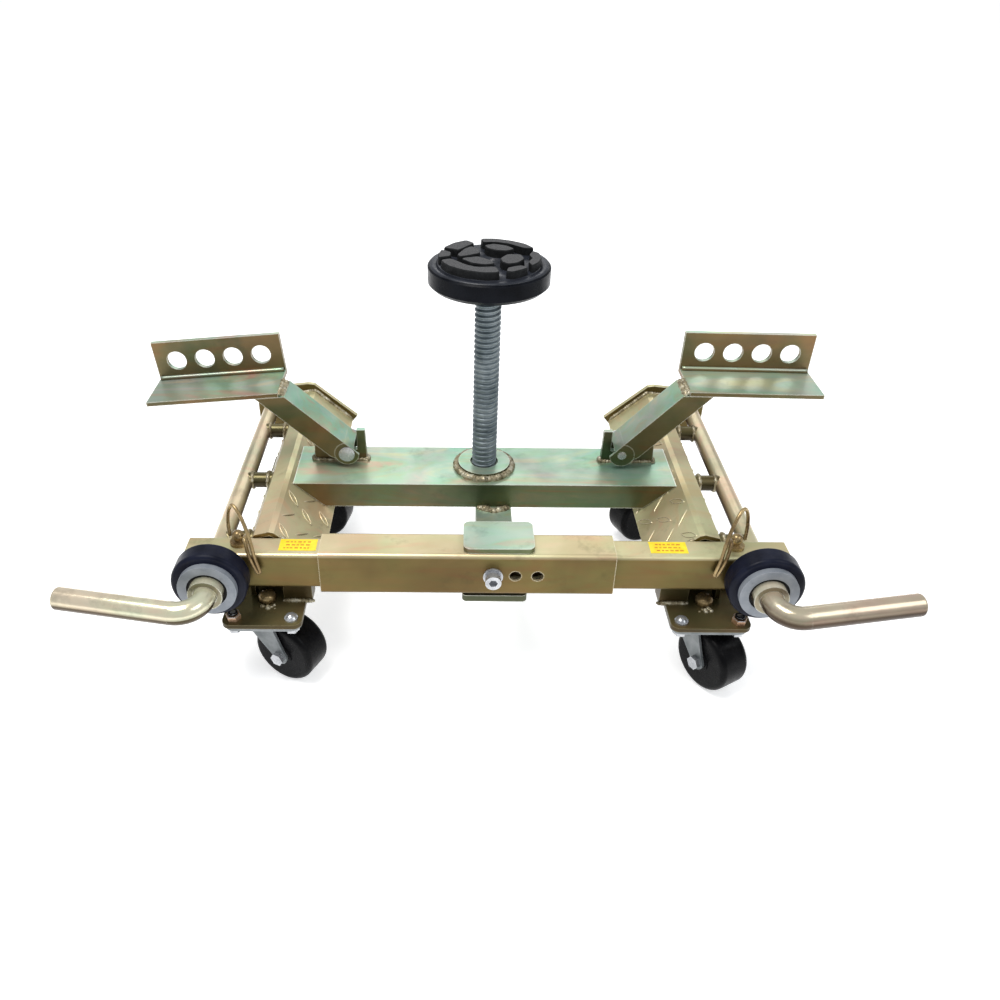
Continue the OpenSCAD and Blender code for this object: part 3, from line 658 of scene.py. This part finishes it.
def lens_outline(centre_point, along, across, up, length, width):
    """The raised outline of a lens-shaped stroke."""
    points = []
    for bulge in (1, -1):
        for i in range(10):
            t = i / 10 if bulge > 0 else 1 - i / 10
            points.append(centre_point + along * (t - 0.5) * length
                          + across * bulge * width / 2 * math.sin(math.pi * t) + up * 0.2 * MM)
    return tube(points, lambda i: 0.6 * MM, 6, True)


def checker_face(sign, foot, head, y0, y1, rows, short=False):
    """The strokes on one sloping face, lensed and outlined by turns; a short face has small plain ones."""
    down = (head - foot).normalized()
    span = (head - foot).length
    up = REAR.cross(down) * sign
    if up.z < 0:
        up = -up
    pitch = 31 * MM
    width, height = 3.6 * MM, 1.5 * MM
    parts = []
    for r in range(rows):
        for i in range(int((y1 - y0 - 16 * MM) / pitch)):
            y = y0 + 12 * MM + pitch * (i + 0.5 * (r % 2))
            if y + 13 * MM > y1:
                continue
            point = foot + down * (span * (r + 0.5) / rows)
            point.y = y
            if short:
                along = (REAR * 0.8 + down * 0.3).normalized()
                parts.append(tear(point, along, up.cross(along), up, 15 * MM, width, height))
                continue
            lean = math.radians(42 if (i + r) % 2 else -42) * sign
            along = (REAR * math.cos(lean) + down * math.sin(lean)).normalized()
            across = up.cross(along)
            if lean * sign < 0:
                parts.append(lens_outline(point, along, across, up, 23 * MM, 6.5 * MM))
            else:
                parts.append(tear(point, along, across, up, 24 * MM, width, height))
    return parts


def build_checker(side):
    """The strokes on a cradle plate's inner slope, three rows, and on its short outer one."""
    sign = SIDES[side]
    inner, outer, crest = cradle_reach(side)
    y0, y1 = low(f"{side}_cradle_plate").y, high(f"{side}_cradle_plate").y

    def corner(x, drop):
        return Vector((sign * x, 0, crest - drop * MM))

    parts = checker_face(sign, corner(inner, 43.5), corner(inner + 47 * MM, 1.5), y0, y1, 3)
    parts += checker_face(sign, corner(inner + 74.5 * MM, 17.5), corner(outer, 36.5), y0, y1, 1, short=True)
    verts, faces = joined(parts)
    add_piece(f"{side}_checker_strokes", verts, faces, "zinc_gold", f"{side}_frame")


# ---- labels ----

def slab(x0, x1, y0, y1, z0, z1):
    """A box between two corners."""
    corners = ((x0, y0), (x1, y0), (x1, y1), (x0, y1))
    verts = [Vector((x, y, z)) for z in (z0, z1) for x, y in corners]
    faces = [(3, 2, 1, 0), (4, 5, 6, 7), (0, 1, 5, 4), (1, 2, 6, 5), (2, 3, 7, 6), (3, 0, 4, 7)]
    return verts, faces


def build_label(side):
    """A small yellow sticker on the crossbar with rows of plain bars."""
    sign = SIDES[side]
    tube_top = high(f"{side}_inner_tube").z
    tube_y = centre(f"{side}_inner_tube").y
    mid_x = sign * (192 if side == "left" else 184) * MM
    y0 = tube_y - 7.5 * MM
    y1 = tube_y + 11.2 * MM
    half = 19 * MM
    face_z = tube_top + 0.25 * MM
    bar_depth = 2.0 * MM
    rng = random.Random(5 + sign)
    verts, faces = slab(mid_x - half, mid_x + half, y0, y1, tube_top - 0.05 * MM, face_z)
    add_piece(f"{side}_label", verts, faces, "label_yellow", f"{side}_frame", smooth=False)
    parts = []
    for row in range(3):
        x = mid_x - half + 4 * MM + 3 * MM * rng.random()
        y = y0 + (3.2 + 5.0 * row) * MM
        while x < mid_x + half - 7 * MM:
            length = (1.6 + 2.6 * rng.random()) * MM
            parts.append(slab(x, x + length, y, y + bar_depth, face_z - 0.02 * MM, face_z + 0.08 * MM))
            x += length + (1.1 + rng.random()) * MM
    verts, faces = joined(parts)
    add_piece(f"{side}_label_bars", verts, faces, "label_ink", f"{side}_frame", smooth=False)


# ---- mounting hardware ----

def hex_prism(place, across_flats, z0, z1, hole):
    """A hexagonal nut skin with a chamfered top."""
    outer = across_flats / math.sqrt(3)
    rings = [(outer, z0), (outer, z1 - 1.0 * MM), (outer * 0.86, z1), (hole, z1)]
    verts, faces = [], []
    for r, z in rings:
        for k in range(6):
            a = math.pi / 3 * k
            verts.append(place + Vector((r * math.cos(a), r * math.sin(a), z)))
    for ring in range(3):
        for k in range(6):
            m = (k + 1) % 6
            faces.append((ring * 6 + k, ring * 6 + m, ring * 6 + 6 + m, ring * 6 + 6 + k))
    return verts, faces


def turned(profile, segments, place):
    """A lathed (radius, height) outline in mm, standing on a point."""
    return lathe([(r * MM, z * MM) for r, z in profile], segments, Matrix.Translation(place))


def build_hardware(side):
    """Gold skins on the swivel pins' domes, lock nuts with dark inserts, and weld spatter beside the pins."""
    sign = SIDES[side]
    body = f"{side}_frame"
    plate_top = high(f"{side}_mount_plates").z
    dome_r, wall, rise = 9.25, 4.1, 6.2
    arc = [(dome_r * math.cos(a), wall + rise * math.sin(a)) for a in (math.pi / 2 * k / 8 for k in range(8))]
    dome = [(dome_r, 0.1)] + arc + [(0.01, wall + rise), (0.01, 0.1)]
    insert = [(5.2, 6.0), (5.2, 8.2), (4.6, 8.8), (3.2, 8.8), (3.0, 8.4), (3.0, 6.0)]
    nut_out, nut_ys = 29.5, (-30, 30)
    for row in ("front", "rear"):
        pin = joint_point(f"{row}_{side}_swivel")
        pin = Vector((pin.x, pin.y, plate_top))
        verts, faces = turned(dome, 40, pin)
        add_piece(f"{row}_{side}_pin_dome", verts, faces, "brass_wire", body)
        for k, y in enumerate(nut_ys):
            nut = pin + Vector((sign * nut_out, y, 0)) * MM
            verts, faces = hex_prism(nut, 13.4 * MM, 0.1 * MM, 6.2 * MM, 4.9 * MM)
            add_piece(f"{row}_{side}_nut_{k}", verts, faces, "pink_brass", body, smooth=False)
            verts, faces = turned(insert, 28, nut)
            add_piece(f"{row}_{side}_insert_{k}", verts, faces, "bush_black", body)
    build_spatter(side, sign, plate_top)


def build_spatter(side, sign, plate_top):
    """Nine drops of weld metal in front of the front swivel pin."""
    pin = joint_point(f"front_{side}_swivel")
    rng = random.Random(40 + sign)
    core, foot = 0.01 * MM, -0.2 * MM
    spots = []
    for _ in range(9):
        x = pin.x + sign * (rng.random() * 16 - 10) * MM
        y = pin.y - (10 + 7 * rng.random()) * MM
        size = (1.2 + 1.8 * rng.random()) * MM
        drop = [(size, foot), (size * 0.9, size * 0.4), (size * 0.5, size * 0.8), (core, size * 0.9),
                (core, foot)]
        spots.append(lathe(drop, 12, Matrix.Translation((x, y, plate_top))))
    verts, faces = joined(spots)
    add_piece(f"{side}_spatter", verts, faces, "weld_metal", f"{side}_frame")


# ---- weld beads ----

def build_welds():
    beam_lo, beam_hi = low("crossbeam"), high("crossbeam")
    nut = centre("flange_nut")
    ring = circle((nut.x, nut.y, beam_hi.z + 1.2 * MM), 31.5 * MM)
    add_weld("nut_weld", ring, 4.2 * MM, "crossbeam", 1, True)
    bar_lo, bar_hi = low("connecting_bar"), high("connecting_bar")
    bar_x = centre("connecting_bar").x
    y = beam_lo.y - 3 * MM
    path = [(bar_lo.x + 2 * MM, y + 2 * MM, beam_lo.z), (bar_x, y - 5 * MM, beam_lo.z - 1 * MM),
            (bar_hi.x - 2 * MM, y + 2 * MM, beam_lo.z)]
    add_weld("bar_weld", path, 4.5 * MM, "crossbeam", 2)
    jaws_back = high("clamp_jaws").y - 1 * MM
    path = [(bar_lo.x - 1 * MM, jaws_back + 3 * MM, bar_hi.z + 0.5 * MM),
            (bar_x - 6 * MM, jaws_back + 7 * MM, bar_hi.z + 1 * MM),
            (bar_hi.x + 1 * MM, jaws_back + 3 * MM, bar_hi.z + 0.5 * MM)]
    add_weld("jaw_wave_weld", path, 4.0 * MM, "crossbeam", 4)
    path = [(x, jaws_back, bar_hi.z + 1 * MM) for x in (bar_lo.x + 1 * MM, bar_hi.x - 1 * MM)]
    add_weld("jaw_weld", path, 3.5 * MM, "crossbeam", 3)
    for number, (side, sign) in enumerate(SIDES.items()):
        weld_bracket(side, sign, beam_hi.z, 10 + number)
        weld_angle(side, 20 + number)
        weld_frame(side, sign, 30 + 10 * number)


def weld_bracket(side, sign, beam_top, seed):
    """Beads along both sides of a bracket plate's foot, and a blob at each end."""
    lo, hi = low("arm_brackets"), high("arm_brackets")
    outer = abs(hi.x)
    inner = outer - 61 * MM
    z = beam_top + 0.6 * MM
    for k, y in enumerate((lo.y - 0.8 * MM, hi.y + 0.8 * MM)):
        add_weld(f"{side}_bracket_weld_{k}", [(sign * inner, y, z), (sign * outer, y, z)],
                 2.4 * MM, "crossbeam", seed * 3 + k)
    for k, x in enumerate((inner, outer)):
        add_weld(f"{side}_bracket_blob_{k}", [(sign * x, lo.y - 3.0 * MM, z), (sign * x, hi.y + 2.0 * MM, z)],
                 3.8 * MM, "crossbeam", seed * 5 + k)


def weld_angle(side, seed):
    """The bead that fills the step between the arm's top face and its angle iron."""
    corner = shelf_matrix(side)
    depth = 63 * MM
    for k, (x, z, size) in enumerate(((-3.4, 0.2, 3.6), (-0.6, 2.6, 3.0))):
        path = [corner @ Vector((x * MM, y * MM, z * MM)) for y in (1.5, 38.5)]
        add_weld(f"{side}_shelf_weld_{k}", path, size * MM, f"{side}_arm", seed + 7 * k)
    fold = [corner @ Vector((x, depth - 7.2 * MM, 6.8 * MM)) for x in (2 * MM, 145 * MM)]
    verts, faces = tube(resampled(fold, 4 * MM), lambda i: 2.6 * MM, 12)
    add_piece(f"{side}_fold_fillet", verts, faces, "zinc_green", f"{side}_arm")


def shelf_matrix(side):
    """The frame of a side's angle iron: X along its shelf from the inner end, Y to the rear, Z up."""
    mounts = {m["name"]: m for m in frame["record"]["mounts"]}
    sign = SIDES[side]
    up = Vector(mounts[f"{side}_shelf"]["axis"]).normalized()
    mid = Vector(mounts[f"{side}_shelf"]["pos_m"])
    out = REAR.cross(up).normalized()
    if out.x * sign < 0:
        out = -out
    half_length, thickness = 73.5, 5
    origin = mid - out * half_length * MM - up * thickness * MM
    origin.y = low(f"{side}_angle_iron").y
    basis = Matrix((out, REAR, up)).transposed().to_4x4()
    return Matrix.Translation(origin) @ basis


def weld_frame(side, sign, seed):
    """One side frame's beads: cradle and end plate, side rod and lugs, wheel boss, front riser."""
    body = f"{side}_frame"
    inner, outer, crest = cradle_reach(side)
    tube_back = high(f"{side}_inner_tube").y
    rear = low(f"{side}_end_plate").y - 0.6 * MM

    def on_cradle(x, y, drop):
        return sign * (inner + x * MM), y, crest - drop * MM

    y = tube_back + 1.2 * MM
    path = [on_cradle(2, y, 41.5), on_cradle(42, y, 6.0)]
    add_weld(f"{side}_cradle_weld", path, 2.4 * MM, body, seed)
    path = [on_cradle(2, rear, 41.5), on_cradle(47, rear, 0.5), on_cradle(68, rear, 3.5)]
    add_weld(f"{side}_end_weld", path, 2.6 * MM, body, seed + 1)
    rod = centre(f"{side}_side_rod")
    rod_r = (high(f"{side}_side_rod").x - low(f"{side}_side_rod").x) / 2
    for k, y in enumerate((tube_back + 1 * MM, rear)):
        ring = circle((rod.x, y, rod.z), rod_r + 0.6 * MM, "y", 40)
        add_weld(f"{side}_rod_weld_{k}", ring, 2.2 * MM, body, seed + 2 + k, True)
    lugs = f"{side}_rod_lugs"
    first, last = low(lugs).y + 9 * MM, high(lugs).y - 9 * MM
    at_rod = sign * (abs(rod.x) - rod_r + 0.3 * MM)
    at_plate = sign * (outer - 5 * MM)
    for k in range(3):
        y = first + (last - first) * k / 2
        ring = circle((at_rod, y, rod.z), 8.8 * MM, "x", 36)
        add_weld(f"{side}_lug_weld_{k}", ring, 2.0 * MM, body, seed + 5 + k, True)
        ring = circle((at_plate, y, rod.z), 9.0 * MM, "x", 36)
        add_weld(f"{side}_lug_foot_{k}", ring, 2.2 * MM, body, seed + 8 + k, True)
    boss_lo, boss_hi = low(f"{side}_wheel_boss"), high(f"{side}_wheel_boss")
    boss = centre(f"{side}_wheel_boss")
    ring = circle((boss.x, boss_hi.y - 1.2 * MM, boss.z), (boss_hi.x - boss_lo.x) / 2 + 0.2 * MM, "y", 48)
    add_weld(f"{side}_boss_weld", ring, 1.8 * MM, body, seed + 11, True)
    y = low(f"{side}_risers").y - 0.5 * MM
    z = high(f"{side}_mount_plates").z + 0.6 * MM
    path = [(sign * x * MM, y, z) for x in (180, 213)]
    add_weld(f"{side}_riser_weld_0", path, 2.6 * MM, body, seed + 12)


# ---- scene ----

def build_stage():
    bpy.ops.mesh.primitive_plane_add(size=30, location=(0, 0, 0))
    floor = bpy.context.object
    floor.name = "studio_floor"
    floor.data.materials.append(floor_paint())


def add_area(name, place, target, size, power, colour=(1, 1, 1)):
    light = bpy.data.lights.new(name, "AREA")
    light.shape = "RECTANGLE"
    light.size, light.size_y = size
    light.energy = power
    light.color = colour
    lamp = bpy.data.objects.new(name, light)
    bpy.context.scene.collection.objects.link(lamp)
    lamp.location = place
    lamp.rotation_euler = (Vector(target) - Vector(place)).to_track_quat("-Z", "Y").to_euler()


def build_lights():
    world = bpy.data.worlds.new("studio")
    bpy.context.scene.world = world
    world.use_nodes = True
    background = world.node_tree.nodes["Background"]
    background.inputs["Color"].default_value = (0.93, 0.96, 1.0, 1)
    background.inputs["Strength"].default_value = 0.55
    add_area("key", (-0.8, -0.3, 2.8), (0, 0, 0.15), (1.6, 1.2), 62, (1.0, 0.98, 0.95))
    add_area("fill", (1.7, -0.9, 1.9), (0, 0, 0.15), (1.4, 1.0), 14, (0.95, 0.98, 1.0))
    add_area("back", (0.2, 2.4, 1.7), (0, 0, 0.2), (2.4, 0.5), 9)


def build_camera():
    """Solved from the dolly's straight edges; it looks down on the crossbar from the front."""
    pitch, yaw, roll = math.radians(33.59), math.radians(-0.15), math.radians(-0.34)
    forward = Vector((math.sin(yaw) * math.cos(pitch), math.cos(yaw) * math.cos(pitch), -math.sin(pitch)))
    level = Vector((math.cos(yaw), -math.sin(yaw), 0))
    down = forward.cross(level)
    right = level * math.cos(roll) + down * math.sin(roll)
    below = down * math.cos(roll) - level * math.sin(roll)
    data = bpy.data.cameras.new("camera")
    data.sensor_width = 36.0
    data.lens = 31.87008
    data.shift_x = 0.04496
    data.shift_y = -0.01247
    camera = bpy.data.objects.new("camera", data)
    bpy.context.scene.collection.objects.link(camera)
    bar = centre("sleeve_tube")
    place = Vector((-0.0310, bar.y - 0.7147, bar.z + 0.5684))
    turned_to = Matrix((right, -below, -forward)).transposed().to_4x4()
    camera.matrix_world = Matrix.Translation(place) @ turned_to
    bpy.context.scene.camera = camera


dress_nodes()
build_screw()
build_pad()
for build in (build_bail, build_checker, build_label, build_hardware):
    for side_name in SIDES:
        build(side_name)
build_welds()
build_stage()
build_lights()
build_camera()
bpy.context.scene.view_settings.view_transform = "Standard"
